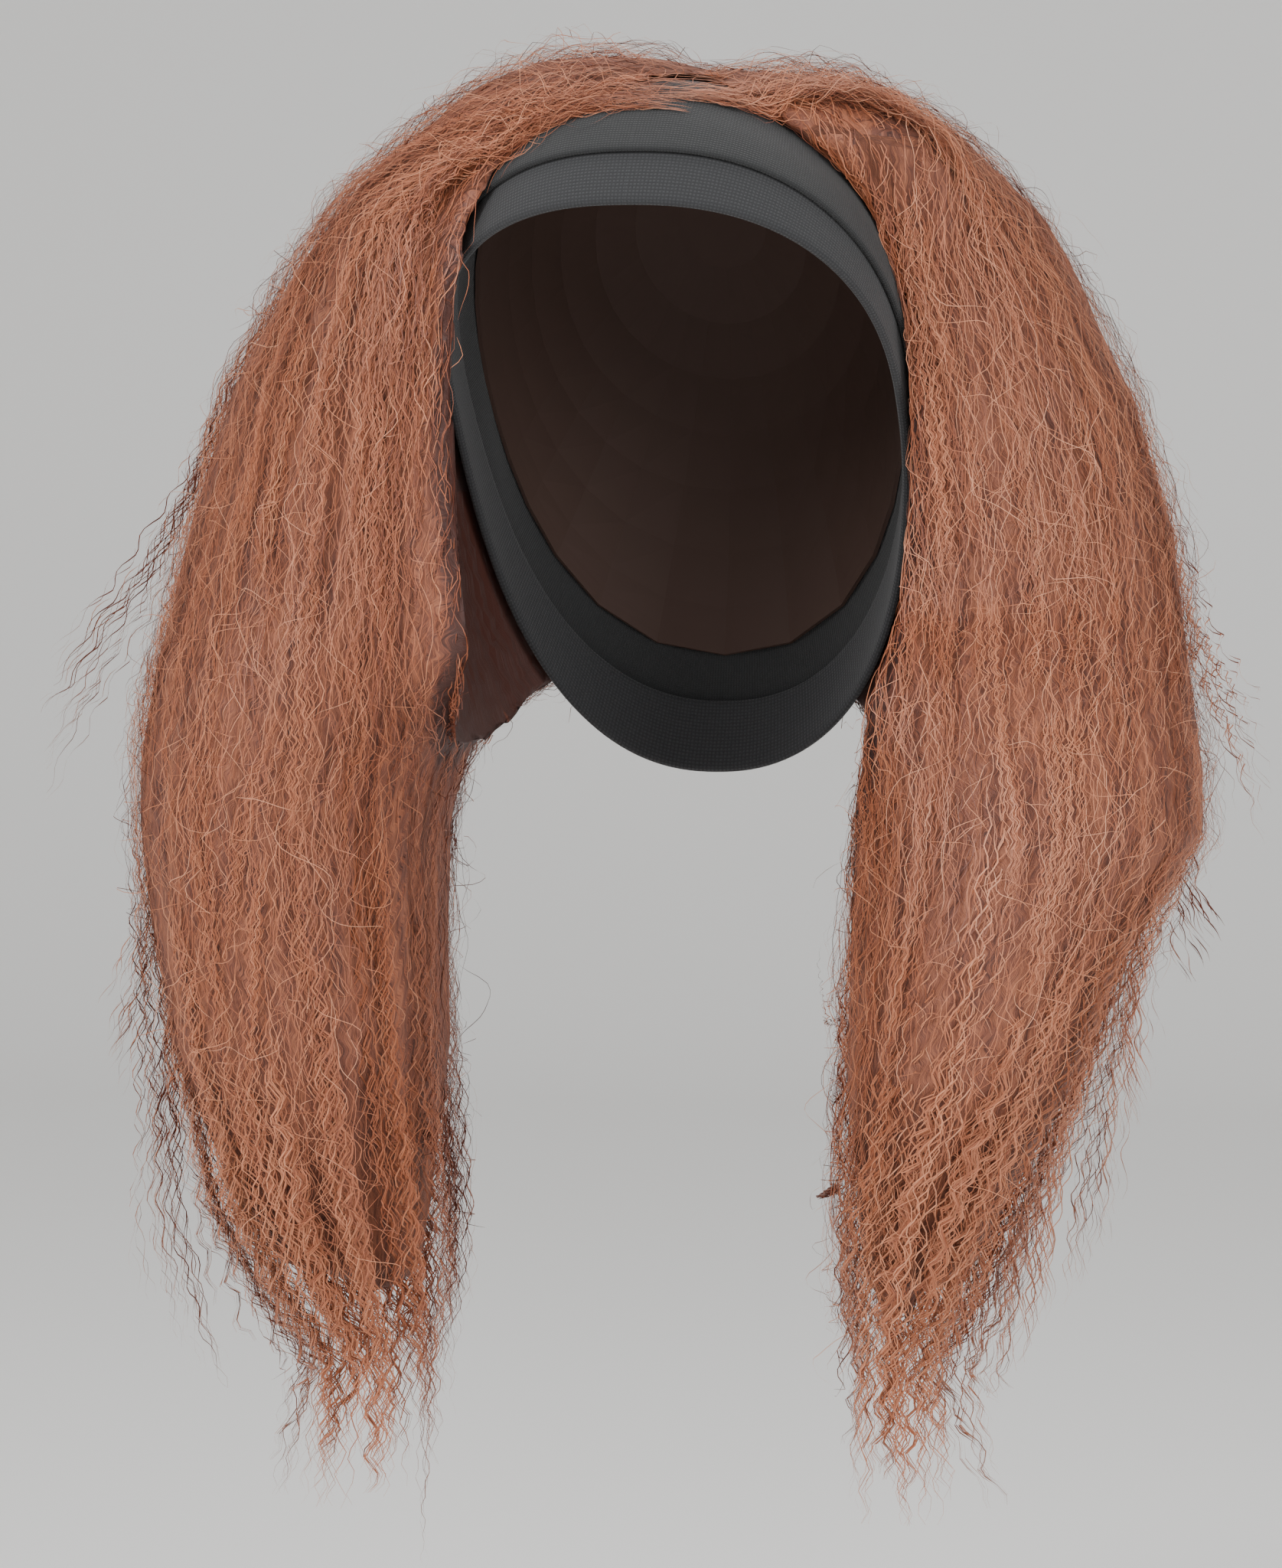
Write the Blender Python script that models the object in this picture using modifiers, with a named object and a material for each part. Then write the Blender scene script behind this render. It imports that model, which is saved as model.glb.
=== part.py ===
# Headband wig: a knit headband with a hem, a net cap behind it, and long kinky hair in two falls.
# Metres, +Z up. The face looks along -Y and +X is the wearer's left.
# The origin is the inside of the cap at the top of the head, where the wig rests on its wearer.
import math
import random

import bmesh
import bpy
import numpy as np
from mathutils import Vector

# The head that the cap and band are made for: a rounded box round a centre below the crown.
head_half_width = 0.076
head_front = 0.095
head_back = 0.098
head_up = 0.105
head_down = 0.200
head_squareness = 2.3
nape_tuck = 0.030

# The cap and band are gridded round a pole at the back of the crown.
pole_tilt = math.radians(50)
grid_columns = 32

# Edges of the band, as degrees from the pole at the forehead, over the ears and at the nape.
band_rear_edge = {"forehead": 62, "ears": 60, "nape": 81}
band_front_edge = {"forehead": 102, "ears": 90, "nape": 97}
hem_width = {"forehead": 10.5, "ears": 8.5, "nape": 5.5}

# Thicknesses and gaps.
cap_thickness = 0.0015
band_thickness = 0.0022
hem_thickness = 0.0030
seam_gap = 0.0004
hair_gap = 0.0004
cap_lap_share = 0.24
hem_lap_share = 0.32

# Rows of the cap, the band and the hem, as shares of their widths.
cap_rows = (0.14, 0.28, 0.42, 0.56, 0.70, 0.84, 0.95)
cap_step_share = 0.98
band_rows = (0.0, 0.12, 0.24, 0.42, 0.60, 0.76, 0.86, 1.0)
band_lift_shares = (0.0, 0.24, 0.76, 1.0)
hem_rows = (1.0, 0.66, 0.33, 0.0)

# The hair: how far it rises over the crown, hangs below it, and reaches to the sides, front and back.
left_crown_rise = 0.0155
right_crown_rise = 0.0085
hair_drop = 0.455
left_side_reach = 0.190
right_side_reach = 0.184
left_neck_clear = 0.078
right_neck_clear = 0.061
left_front_reach = 0.082
right_front_reach = 0.070
back_reach = 0.128
parting_x = 0.011
parting_gap = 0.0004
fall_top = 0.225
tier_gap = 0.0004
crown_rise = {"left": left_crown_rise, "right": right_crown_rise}
side_reach = {"left": left_side_reach, "right": right_side_reach}
neck_clear = {"left": left_neck_clear, "right": right_neck_clear}
front_reach = {"left": left_front_reach, "right": right_front_reach}
outline_squareness = 2.4
outline_points = 24
bottom_round = 0.012

# Locks on the outside of the hair.
lock_radius = 0.0110
lock_tip_radius = 0.0016
lock_rings = 10
lock_sink = 0.45
lock_wave = 0.0045
lock_wave_length = 0.115
tube_weld = 0.00005

# The boxes that keep one side or one tier of the hair are this much longer than any part of it.
keep_reach = 1.0

collection_name = "headband_wig"

# Outline of the hair by height, as shares: drop of the hair's whole height, outer of side_reach,
# inner of neck_clear (below zero it crosses the middle), front of front_reach, back of back_reach.
hair_sections = {
    "left": (
        # drop, outer, inner, front, back
        (0.006, 0.27, 0.05, 0.18, 0.33),
        (0.025, 0.38, -0.30, 0.44, 0.53),
        (0.050, 0.46, -0.42, 0.60, 0.67),
        (0.100, 0.61, -0.48, 0.76, 0.83),
        (0.160, 0.72, -0.50, 0.88, 0.92),
        (0.240, 0.83, -0.55, 0.93, 0.99),
        (0.340, 0.91, -0.50, 0.94, 0.98),
        (0.400, 0.94, -0.30, 0.96, 0.91),
        (0.440, 0.96, 0.20, 0.98, 0.81),
        (0.475, 0.96, 0.72, 1.00, 0.69),
        (0.510, 0.97, 0.94, 1.00, 0.59),
        (0.560, 0.97, 1.00, 1.00, 0.50),
        (0.640, 0.95, 1.00, 0.97, 0.44),
        (0.740, 0.91, 0.98, 0.90, 0.38),
        (0.840, 0.84, 0.95, 0.78, 0.30),
        (0.900, 0.74, 0.98, 0.64, 0.22),
        (0.945, 0.62, 1.06, 0.48, 0.12),
    ),
    "right": (
        (0.006, 0.34, 0.05, 0.30, 0.33),
        (0.025, 0.44, -0.30, 0.56, 0.53),
        (0.050, 0.53, -0.45, 0.62, 0.67),
        (0.100, 0.65, -0.50, 0.34, 0.83),
        (0.160, 0.74, -0.55, 0.18, 0.92),
        (0.240, 0.84, -0.58, 0.08, 0.99),
        (0.340, 0.91, -0.52, 0.08, 0.98),
        (0.400, 0.93, -0.30, 0.16, 0.91),
        (0.440, 0.95, 0.20, 0.40, 0.81),
        (0.475, 0.97, 0.72, 0.55, 0.69),
        (0.510, 0.99, 0.94, 0.70, 0.59),
        (0.560, 1.00, 1.00, 0.86, 0.50),
        (0.640, 0.94, 1.00, 1.00, 0.44),
        (0.740, 0.83, 0.98, 1.00, 0.38),
        (0.840, 0.69, 0.95, 0.86, 0.30),
        (0.900, 0.61, 0.98, 0.70, 0.22),
        (0.945, 0.52, 1.06, 0.52, 0.12),
    ),
}

# Locks that leave the hair: the way they face in degrees (0 outward, 90 forward, 180 inward),
# where they start and end as shares of the hair's height, and how far the tip stands out, of side_reach.
loose_locks = {
    "left": (
        # facing, start, end, stand-out
        (8, 0.10, 0.476, 0.15),
        (-22, 0.52, 0.600, 0.09),
        (28, 0.50, 0.680, 0.08),
        (2, 0.52, 0.820, 0.09),
        (20, 0.54, 0.895, 0.13),
        (10, 0.60, 1.058, 0.08),
        (38, 0.30, 1.040, 0.04),
        (62, 0.04, 1.062, 0.02),
        (86, 0.03, 1.030, 0.00),
        (112, 0.10, 1.010, 0.00),
        (140, 0.54, 1.000, 0.00),
        (166, 0.60, 0.975, 0.00),
        (-168, 0.60, 0.985, 0.00),
    ),
    "right": (
        (10, 0.10, 0.476, 0.10),
        (-15, 0.50, 0.580, 0.07),
        (22, 0.50, 0.700, 0.10),
        (4, 0.52, 0.840, 0.12),
        (26, 0.56, 0.930, 0.11),
        (14, 0.60, 1.010, 0.07),
        (46, 0.30, 1.030, 0.03),
        (68, 0.04, 1.062, 0.02),
        (90, 0.03, 0.985, 0.00),
        (118, 0.30, 1.050, 0.00),
        (146, 0.54, 1.010, 0.00),
        (172, 0.60, 0.965, 0.00),
        (-164, 0.60, 0.990, 0.00),
    ),
}

# Back locks come from a rule: evenly round the back, each a little shorter or longer than the last.
back_lock_count = 5
back_lock_arc = (-38, -140)
back_lock_end = (0.95, 1.02)

hair_colour = (0.445, 0.170, 0.091, 1)
band_colour = (0.043, 0.046, 0.052, 1)
hem_colour = (0.067, 0.070, 0.078, 1)
cap_colour = (0.120, 0.062, 0.040, 1)


def clear_scene():
    for obj in list(bpy.data.objects):
        bpy.data.objects.remove(obj, do_unlink=True)


def new_collection(name, hidden):
    made = bpy.data.collections.new(name)
    made.hide_render = hidden
    bpy.context.scene.collection.children.link(made)
    return made


def material(name, colour, roughness):
    made = bpy.data.materials.new(name)
    made.use_nodes = True
    shader = made.node_tree.nodes["Principled BSDF"]
    shader.inputs["Base Color"].default_value = colour
    shader.inputs["Roughness"].default_value = roughness
    shader.inputs["Metallic"].default_value = 0.0
    return made


def mesh_object(name, points, faces, collection):
    mesh = bpy.data.meshes.new(name)
    mesh.from_pydata([tuple(p) for p in points], [], faces)
    work = bmesh.new()
    work.from_mesh(mesh)
    bmesh.ops.recalc_face_normals(work, faces=work.faces)
    work.to_mesh(mesh)
    work.free()
    obj = bpy.data.objects.new(name, mesh)
    collection.objects.link(obj)
    return obj


def cutter(obj):
    obj.hide_render = True
    obj.display_type = "WIRE"
    return obj


def boolean(obj, operation, other=None, group=None):
    step = obj.modifiers.new(operation.lower(), "BOOLEAN")
    step.operation = operation
    step.solver = "EXACT"
    if group is not None:
        step.operand_type = "COLLECTION"
        step.collection = group
    else:
        step.object = other
    return step


def baked_mesh(obj, name):
    bpy.context.view_layer.update()
    graph = bpy.context.evaluated_depsgraph_get()
    mesh = bpy.data.meshes.new_from_object(obj.evaluated_get(graph))
    mesh.name = name
    return mesh


def around_ring(values, angle):
    # Takes forehead, ears and nape values at 0, 90 and 180 degrees and runs smoothly between them.
    tilt = (values["forehead"] - values["nape"]) / 2
    waist = ((values["forehead"] + values["nape"]) / 2 - values["ears"]) / 2
    return values["ears"] + waist + tilt * math.cos(angle) + waist * math.cos(2 * angle)


def head_surface(around, from_pole):
    # Point on the head at an angle round the pole (0 is the forehead) and an angle down from it.
    pole = Vector((0, math.sin(pole_tilt), math.cos(pole_tilt)))
    ahead = Vector((0, -math.cos(pole_tilt), math.sin(pole_tilt)))
    side = Vector((1, 0, 0))
    level = math.cos(around) * ahead + math.sin(around) * side
    way = math.cos(from_pole) * pole + math.sin(from_pole) * level
    depth = head_front if way.y < 0 else head_back
    height = head_up if way.z > 0 else head_down
    power = head_squareness
    spread = abs(way.x / head_half_width) ** power
    spread += abs(way.y / depth) ** power + abs(way.z / height) ** power
    point = way * spread ** (-1 / power)
    low = max(0, -point.z / head_down)
    point.y -= nape_tuck * low ** 2 * (1 if way.y > 0 else 0)
    point.z -= head_up
    return point


def head_point(around, from_pole, lift):
    # The same point moved off the head along its normal.
    step = 0.01
    across = head_surface(around + step, from_pole) - head_surface(around - step, from_pole)
    down = head_surface(around, from_pole + step) - head_surface(around, from_pole - step)
    point = head_surface(around, from_pole)
    if from_pole == 0:
        normal = Vector((0, math.sin(pole_tilt), math.cos(pole_tilt)))
    else:
        normal = down.cross(across).normalized()
        if normal.dot(point + Vector((0, 0, head_up))) < 0:
            normal = -normal
    return point + normal * lift


def column_angle(column):
    return 2 * math.pi * column / grid_columns


def ring_loft(name, rows, collection, top_point=None, bottom_point=None):
    # Skins rings of points, and closes the ends onto single points where they are given.
    points = [p for row in rows for p in row]
    count = len(rows[0])
    faces = []
    for k in range(len(rows) - 1):
        for c in range(count):
            a = k * count + c
            b = k * count + (c + 1) % count
            faces.append((a, b, b + count, a + count))
    for end_point, start in ((top_point, 0), (bottom_point, (len(rows) - 1) * count)):
        if end_point is None:
            continue
        points.append(end_point)
        for c in range(count):
            faces.append((start + c, start + (c + 1) % count, len(points) - 1))
    return mesh_object(name, points, faces, collection)


def thicken(obj, thickness):
    shell = obj.modifiers.new("cloth thickness", "SOLIDIFY")
    shell.thickness = thickness
    shell.offset = 1
    shell.use_even_offset = True
    return obj


def face_out(obj):
    # Turns an open surface so that its faces look away from the middle of the head.
    middle = Vector((0, 0, -head_up))
    inward = sum(1 for f in obj.data.polygons if f.normal.dot(f.center - middle) < 0)
    if inward > len(obj.data.polygons) / 2:
        obj.data.flip_normals()
    return obj


def hem_row(share, lift):
    # A ring of the hem: share 0 is its front edge and 1 is where it goes in under the main band.
    ring = []
    for c in range(grid_columns):
        around = column_angle(c)
        front = around_ring(band_front_edge, around)
        hem = around_ring(hem_width, around)
        ring.append(head_point(around, math.radians(front - hem * share), lift))
    return ring


def main_band_row(share, lift):
    # A ring of the main band: share 0 is its rear edge and 1 is where the hem comes out from under it.
    ring = []
    for c in range(grid_columns):
        around = column_angle(c)
        rear = around_ring(band_rear_edge, around)
        front = around_ring(band_front_edge, around) - around_ring(hem_width, around)
        ring.append(head_point(around, math.radians(rear + (front - rear) * share), lift))
    return ring


def band_lift(share):
    # How far the band's inside stands off the head: over the cap at its rear, over the hem at its front.
    over_cap = cap_thickness + seam_gap
    over_hem = hem_thickness + seam_gap
    return float(np.interp(share, band_lift_shares, (over_cap, over_cap, over_hem, over_hem)))


def add_headband(collection):
    rows = [main_band_row(share, band_lift(share)) for share in band_rows]
    band = thicken(face_out(ring_loft("headband", rows, collection)), band_thickness)
    band.data.materials.append(material("charcoal knit band", band_colour, 0.9))
    return band


def add_hem(collection):
    # The hem runs from under the band's front edge to its own front edge.
    rows = [hem_row(share, 0.0) for share in (1.0 + hem_lap_share,) + hem_rows]
    hem = thicken(face_out(ring_loft("headband_front_hem", rows, collection)), hem_thickness)
    hem.data.materials.append(material("charcoal knit hem", hem_colour, 0.92))
    return hem


def cap_row(share, lift):
    # A ring of the cap: share 0 is the pole and 1 is the band's rear edge.
    ring = []
    for c in range(grid_columns):
        around = column_angle(c)
        edge = around_ring(band_rear_edge, around)
        ring.append(head_point(around, math.radians(edge * share), lift))
    return ring


def add_cap(collection):
    rows = [cap_row(share, 0.0) for share in cap_rows]
    rows += [main_band_row(share, 0.0) for share in band_rows if share <= cap_lap_share]
    cap = ring_loft("wig_cap", rows, collection, top_point=head_point(0.0, 0.0, 0.0))
    thicken(face_out(cap), cap_thickness)
    cap.data.materials.append(material("brown net cap", cap_colour, 0.85))
    return cap


def add_head_space(collection):
    # Everything that the hair stays clear of: the head, the cap and the band.
    over_cap = cap_thickness + hair_gap
    over_band = band_thickness + hair_gap
    over_hem = hem_thickness + hair_gap
    rows = [cap_row(share, over_cap) for share in cap_rows]
    rows.append(cap_row(cap_step_share, band_lift(0.0) + over_band))
    for share in band_rows:
        rows.append(main_band_row(share, band_lift(share) + over_band))
    for share in hem_rows:
        rows.append(hem_row(share - 0.06, band_lift(1.0) + over_band))
    for share in (0.35, 0.7, 0.9):
        ring = []
        for c in range(grid_columns):
            around = column_angle(c)
            edge = around_ring(band_front_edge, around)
            ring.append(head_point(around, math.radians(edge + (178 - edge) * share), over_hem))
        rows.append(ring)
    top = head_point(0.0, 0.0, over_cap)
    bottom = head_point(0.0, math.pi, 0.0)
    space = ring_loft("head_space", rows, collection, top_point=top, bottom_point=bottom)
    return cutter(space)


def section_at(side, drop):
    table = np.array(hair_sections[side])
    shares = [np.interp(drop, table[:, 0], table[:, k]) for k in range(1, 5)]
    outer = shares[0] * side_reach[side]
    inner = shares[1] * neck_clear[side]
    front = -shares[2] * front_reach[side]
    back = shares[3] * back_reach
    return outer, inner, front, back


def height_at(side, drop):
    return crown_rise[side] - drop * (crown_rise[side] + hair_drop)


def outline_point(side, drop, facing):
    # Point on the hair's outline: facing 0 is outward, 90 degrees forward and 180 inward.
    outer, inner, front, back = section_at(side, drop)
    across = math.cos(facing)
    ahead = math.sin(facing)
    power = 2 / outline_squareness
    x = (outer + inner) / 2 + (outer - inner) / 2 * math.copysign(abs(across) ** power, across)
    y = (front + back) / 2 - (back - front) / 2 * math.copysign(abs(ahead) ** power, ahead)
    way = -1 if side == "left" else 1
    return Vector((way * x, y, height_at(side, drop)))


def section_middle(side, drop):
    outer, inner, front, back = section_at(side, drop)
    way = -1 if side == "left" else 1
    return Vector((way * (outer + inner) / 2, (front + back) / 2, height_at(side, drop)))


def add_hair_core(side, collection):
    rows = []
    for row in hair_sections[side]:
        ring = []
        for k in range(outline_points):
            ring.append(outline_point(side, row[0], 2 * math.pi * k / outline_points))
        rows.append(ring)
    top = section_middle(side, 0.0)
    bottom = section_middle(side, hair_sections[side][-1][0]) - Vector((0, 0, bottom_round))
    return ring_loft("hair_core_" + side, rows, collection, top, bottom)


def lock_points(side, facing, start, end, stand_out, phase):
    length = (end - start) * (crown_rise[side] + hair_drop)
    points = []
    for k in range(lock_rings):
        t = k / (lock_rings - 1)
        drop = start + (end - start) * t
        on_outline = outline_point(side, min(drop, 1.0), math.radians(facing))
        outward = on_outline - section_middle(side, min(drop, 1.0))
        outward.z = 0
        outward.normalize()
        along = Vector((-outward.y, outward.x, 0))
        point = on_outline - outward * lock_radius * lock_sink
        point.z = height_at(side, drop)
        point += outward * stand_out * side_reach[side] * t ** 2.5
        turn = 2 * math.pi * t * length / lock_wave_length + phase
        point += along * lock_wave * math.sin(turn) + outward * lock_wave * 0.4 * math.cos(turn)
        points.append(point)
    return points


def lock_thickness(t):
    # Thin where it comes out of the hair, fullest a third of the way down, and a fine tip.
    swell = math.sin(math.pi * min(1.0, t / 0.66 + 0.12) * 0.5)
    taper = 1 - max(0.0, (t - 0.45) / 0.55) ** 1.8
    return lock_tip_radius + (lock_radius - lock_tip_radius) * swell * taper


def add_lock(name, points, collection):
    curve = bpy.data.curves.new(name, "CURVE")
    curve.dimensions = "3D"
    curve.bevel_depth = 1.0
    curve.bevel_resolution = 1
    curve.use_fill_caps = True
    spline = curve.splines.new("POLY")
    spline.points.add(len(points) - 1)
    for k, point in enumerate(points):
        spline.points[k].co = (point.x, point.y, point.z, 1)
        spline.points[k].radius = lock_thickness(k / (len(points) - 1))
    tube = bpy.data.objects.new(name + "_curve", curve)
    collection.objects.link(tube)
    mesh = baked_mesh(tube, name)
    work = bmesh.new()
    work.from_mesh(mesh)
    bmesh.ops.remove_doubles(work, verts=work.verts, dist=tube_weld)
    bmesh.ops.recalc_face_normals(work, faces=work.faces)
    work.to_mesh(mesh)
    work.free()
    solid = bpy.data.objects.new(name, mesh)
    solid.matrix_world = tube.matrix_world
    collection.objects.link(solid)
    bpy.data.objects.remove(tube, do_unlink=True)
    return cutter(solid)


def add_locks(side, collection):
    chance = random.Random(7 if side == "left" else 11)
    rows = list(loose_locks[side])
    for k in range(back_lock_count):
        t = (k + 0.5) / back_lock_count
        facing = back_lock_arc[0] + (back_lock_arc[1] - back_lock_arc[0]) * t
        end = back_lock_end[k % 2] + chance.uniform(-0.03, 0.03)
        rows.append((facing, 0.06 + 0.05 * (k % 2), end, 0.02))
    for k, (facing, start, end, stand_out) in enumerate(rows):
        points = lock_points(side, facing, start, end, stand_out, chance.uniform(0, 6.28))
        add_lock("lock_" + side + "_" + str(k), points, collection)


def add_box(name, low, high, collection):
    corners = [(x, y, z) for x in (low[0], high[0]) for y in (low[1], high[1]) for z in (low[2], high[2])]
    faces = ((0, 1, 3, 2), (4, 6, 7, 5), (0, 4, 5, 1), (2, 3, 7, 6), (0, 2, 6, 4), (1, 5, 7, 3))
    return cutter(mesh_object(name, corners, faces, collection))


def add_hair(side, parts, cutters, head_space, hair_material):
    locks = bpy.data.collections.new("locks_" + side)
    cutters.children.link(locks)
    core = cutter(add_hair_core(side, cutters))
    add_locks(side, locks)
    boolean(core, "UNION", group=locks)
    boolean(core, "DIFFERENCE", other=head_space)
    whole = baked_mesh(core, "hair_" + side)
    core.modifiers.clear()
    far = keep_reach
    middle = parting_x - parting_gap / 2 if side == "left" else parting_x + parting_gap / 2
    low_x, high_x = (-far, middle) if side == "left" else (middle, far)
    split = tier_gap / 2 - fall_top
    spans = {"hair_crown_": (split, far), "hair_fall_": (-far, split - tier_gap)}
    for name, (low_z, high_z) in spans.items():
        box = add_box("keep_" + name + side, (low_x, -far, low_z), (high_x, far, high_z), cutters)
        piece = bpy.data.objects.new(name + side, whole.copy())
        parts.objects.link(piece)
        piece.data.materials.clear()
        piece.data.materials.append(hair_material)
        boolean(piece, "INTERSECT", other=box)


def main():
    clear_scene()
    parts = new_collection(collection_name, False)
    cutters = new_collection("cutters", True)
    add_headband(parts)
    add_hem(parts)
    add_cap(parts)
    head_space = add_head_space(cutters)
    hair_material = material("copper kinky hair", hair_colour, 0.55)
    for side in ("left", "right"):
        add_hair(side, parts, cutters, head_space, hair_material)


main()
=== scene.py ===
import math

import bmesh
import bpy
import numpy as np
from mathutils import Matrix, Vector
from mathutils.bvhtree import BVHTree
from mathutils.kdtree import KDTree


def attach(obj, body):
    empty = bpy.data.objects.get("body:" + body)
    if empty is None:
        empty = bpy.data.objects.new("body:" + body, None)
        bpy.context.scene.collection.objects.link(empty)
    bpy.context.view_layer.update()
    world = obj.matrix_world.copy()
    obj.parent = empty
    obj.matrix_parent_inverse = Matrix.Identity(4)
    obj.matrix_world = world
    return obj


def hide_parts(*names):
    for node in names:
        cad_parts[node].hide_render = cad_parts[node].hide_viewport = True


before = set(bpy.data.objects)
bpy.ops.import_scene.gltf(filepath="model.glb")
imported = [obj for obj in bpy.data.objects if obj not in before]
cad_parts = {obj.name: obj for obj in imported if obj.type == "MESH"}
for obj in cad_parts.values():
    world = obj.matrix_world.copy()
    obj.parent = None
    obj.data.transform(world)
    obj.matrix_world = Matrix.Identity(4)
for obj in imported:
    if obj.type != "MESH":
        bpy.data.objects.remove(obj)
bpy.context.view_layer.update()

print("frame loaded:", len(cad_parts), "solids")

# Colours and materials

def linearColour(code):
    # sRGB hex to the linear values that shaders take
    channels = [int(code[k:k + 2], 16) / 255 for k in (1, 3, 5)]
    return tuple(c / 12.92 if c <= 0.04045 else ((c + 0.055) / 1.055) ** 2.4 for c in channels) + (1,)


def addNode(tree, kind, settings=None, **links):
    # one shader node, with its settings, its fixed inputs and its links from other sockets
    made = tree.nodes.new(kind)
    for name, value in (settings or {}).items():
        setattr(made, name, value)
    for name, value in links.items():
        key = int(name[1:]) if name[0] == "i" and name[1:].isdigit() else name.replace("_", " ")
        socket = made.inputs[key]
        if isinstance(value, bpy.types.NodeSocket):
            tree.links.new(value, socket)
        else:
            socket.default_value = value
    return made


def newMaterial(name):
    made = bpy.data.materials.new(name)
    made.use_nodes = True
    made.node_tree.nodes.clear()
    return made, made.node_tree


def finishMaterial(tree, **settings):
    shader = addNode(tree, "ShaderNodeBsdfPrincipled", **settings)
    addNode(tree, "ShaderNodeOutputMaterial", Surface=shader.outputs[0])


def multiplyAdd(tree, value, factor, added):
    made = addNode(tree, "ShaderNodeMath", {"operation": "MULTIPLY_ADD"}, i0=value, i1=factor, i2=added)
    return made.outputs["Value"]


def noise(tree, place, scale, detail, roughness=0.5):
    made = addNode(tree, "ShaderNodeTexNoise", Vector=place, Scale=scale, Detail=detail, Roughness=roughness)
    return made.outputs["Fac"]


def colourRamp(tree, factor, stops):
    # stops are places along the ramp with their sRGB colours
    made = addNode(tree, "ShaderNodeValToRGB", Fac=factor)
    elements = made.color_ramp.elements
    for element, (place, code) in zip(list(elements), (stops[0], stops[-1])):
        element.position = place
        element.color = linearColour(code)
    for place, code in stops[1:-1]:
        elements.new(place).color = linearColour(code)
    return made.outputs["Color"]


def addObject(name, data):
    made = bpy.data.objects.new(name, data)
    bpy.context.scene.collection.objects.link(made)
    return made


# from the shaded roots to the lightest strands, with their places on the ramp
hairColours = ((0.0, "#653324"), (0.25, "#83462E"), (0.52, "#A96241"), (0.80, "#C5805D"), (1.0, "#CE8F6E"))


def hairMaterial():
    # Heat-crimped fibre, dyed copper: every strand is its own shade, so the eye reads many fine hairs.
    made, tree = newMaterial("heat-crimped copper hair fibre")
    shade = addNode(tree, "ShaderNodeAttribute", {"attribute_name": "strandShade"})
    colour = colourRamp(tree, shade.outputs["Fac"], hairColours)
    finishMaterial(tree, Base_Color=colour, Roughness=0.52, IOR=1.5, Sheen_Weight=0.04, Sheen_Roughness=0.4)
    return made


innerHairLook = {
    "colours": ((0.62, "#43221A"), (0.82, "#7A4532"), (1.0, "#A06245")),
    "crimpMm": 9.5,
    "crimpSwingMm": 1.0,
    "streaks": (2.6, 0.10, 1),
    "locks": (0.22, 0.018, 1),
    # painted shade: how much darker the packed hair is drawn near the head
    "nearHead": -0.4,
}


def innerHairMaterial():
    # The same fibre packed under the outer strands, in darker colours that are partly its own and partly painted
    # shade under them: fine crimped streaks, with painted shade in the hollows, between the locks and near the
    # head.
    made, tree = newMaterial("packed copper hair fibre")
    place = addNode(tree, "ShaderNodeUVMap", {"uv_map": "strandMm"})
    parts = addNode(tree, "ShaderNodeSeparateXYZ", Vector=place.outputs["UV"])
    patch = noise(tree, place.outputs["UV"], 0.05, 1.0)
    turns = multiplyAdd(tree, parts.outputs["Y"], 2 * math.pi / innerHairLook["crimpMm"], patch)
    swing = addNode(tree, "ShaderNodeMath", {"operation": "SINE"}, i0=turns)
    across = multiplyAdd(tree, swing.outputs["Value"], innerHairLook["crimpSwingMm"], parts.outputs["X"])
    fine = addNode(tree, "ShaderNodeCombineXYZ", X=across, Y=parts.outputs["Y"])
    noises = []
    for name, detail, roughness in (("streaks", 3.0, 0.7), ("locks", 2.0, 0.6)):
        scale = {"i0": fine.outputs["Vector"], "i1": innerHairLook[name]}
        scaled = addNode(tree, "ShaderNodeVectorMath", {"operation": "MULTIPLY"}, **scale)
        noises.append(noise(tree, scaled.outputs["Vector"], 1.0, detail, roughness))
    mixed = multiplyAdd(tree, noises[1], 0.7, noises[0])
    # painted shade: the packed hair close to the head is drawn darker
    near = addNode(tree, "ShaderNodeAttribute", {"attribute_name": "nearHead"})
    lit = multiplyAdd(tree, near.outputs["Fac"], innerHairLook["nearHead"], mixed)
    bump = addNode(tree, "ShaderNodeBump", Height=mixed, Strength=0.9, Distance=0.0006)
    # painted shade: the colour follows the same height as the bump, darker in the streaks' hollows and between the
    # locks
    colour = colourRamp(tree, lit, innerHairLook["colours"])
    finishMaterial(tree, Base_Color=colour, Normal=bump.outputs["Normal"], Roughness=0.6)
    return made


def knitMaterial(name, dark, light, waleMm, roughness):
    # Fine cotton-elastane jersey, knitted in narrow columns of stitches: soft ribs with no gloss.
    made, tree = newMaterial(name)
    cloth = addNode(tree, "ShaderNodeUVMap", {"uv_map": "clothMm"})
    waves = []
    for direction, spacing, distortion in (("X", waleMm, 0.6), ("Y", waleMm * 0.8, 0.8)):
        waves.append(addNode(
            tree, "ShaderNodeTexWave", {"bands_direction": direction, "wave_profile": "SIN"},
            Vector=cloth.outputs["UV"], Scale=2 * math.pi / 20 / spacing, Distortion=distortion, Detail=2.0,
        ).outputs["Fac"])
    both = addNode(tree, "ShaderNodeMath", {"operation": "MULTIPLY"}, i0=waves[0], i1=waves[1])
    fuzz = noise(tree, cloth.outputs["UV"], 1.6, 6.0, 0.75)
    mixed = multiplyAdd(tree, fuzz, 0.9, both.outputs["Value"])
    bump = addNode(tree, "ShaderNodeBump", Height=mixed, Strength=0.7, Distance=0.0003)
    # painted shade: the colour follows the same height as the bump, darker in the ribs' hollows, over the yarn's
    # own mottle
    finishMaterial(
        tree, Base_Color=colourRamp(tree, mixed, ((0.25, dark), (1.0, light))), Normal=bump.outputs["Normal"],
        Roughness=roughness, Sheen_Weight=0.12, Sheen_Roughness=0.5,
    )
    return made


# The head that the band and cap are shaped for, with the same numbers as the part's source

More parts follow.
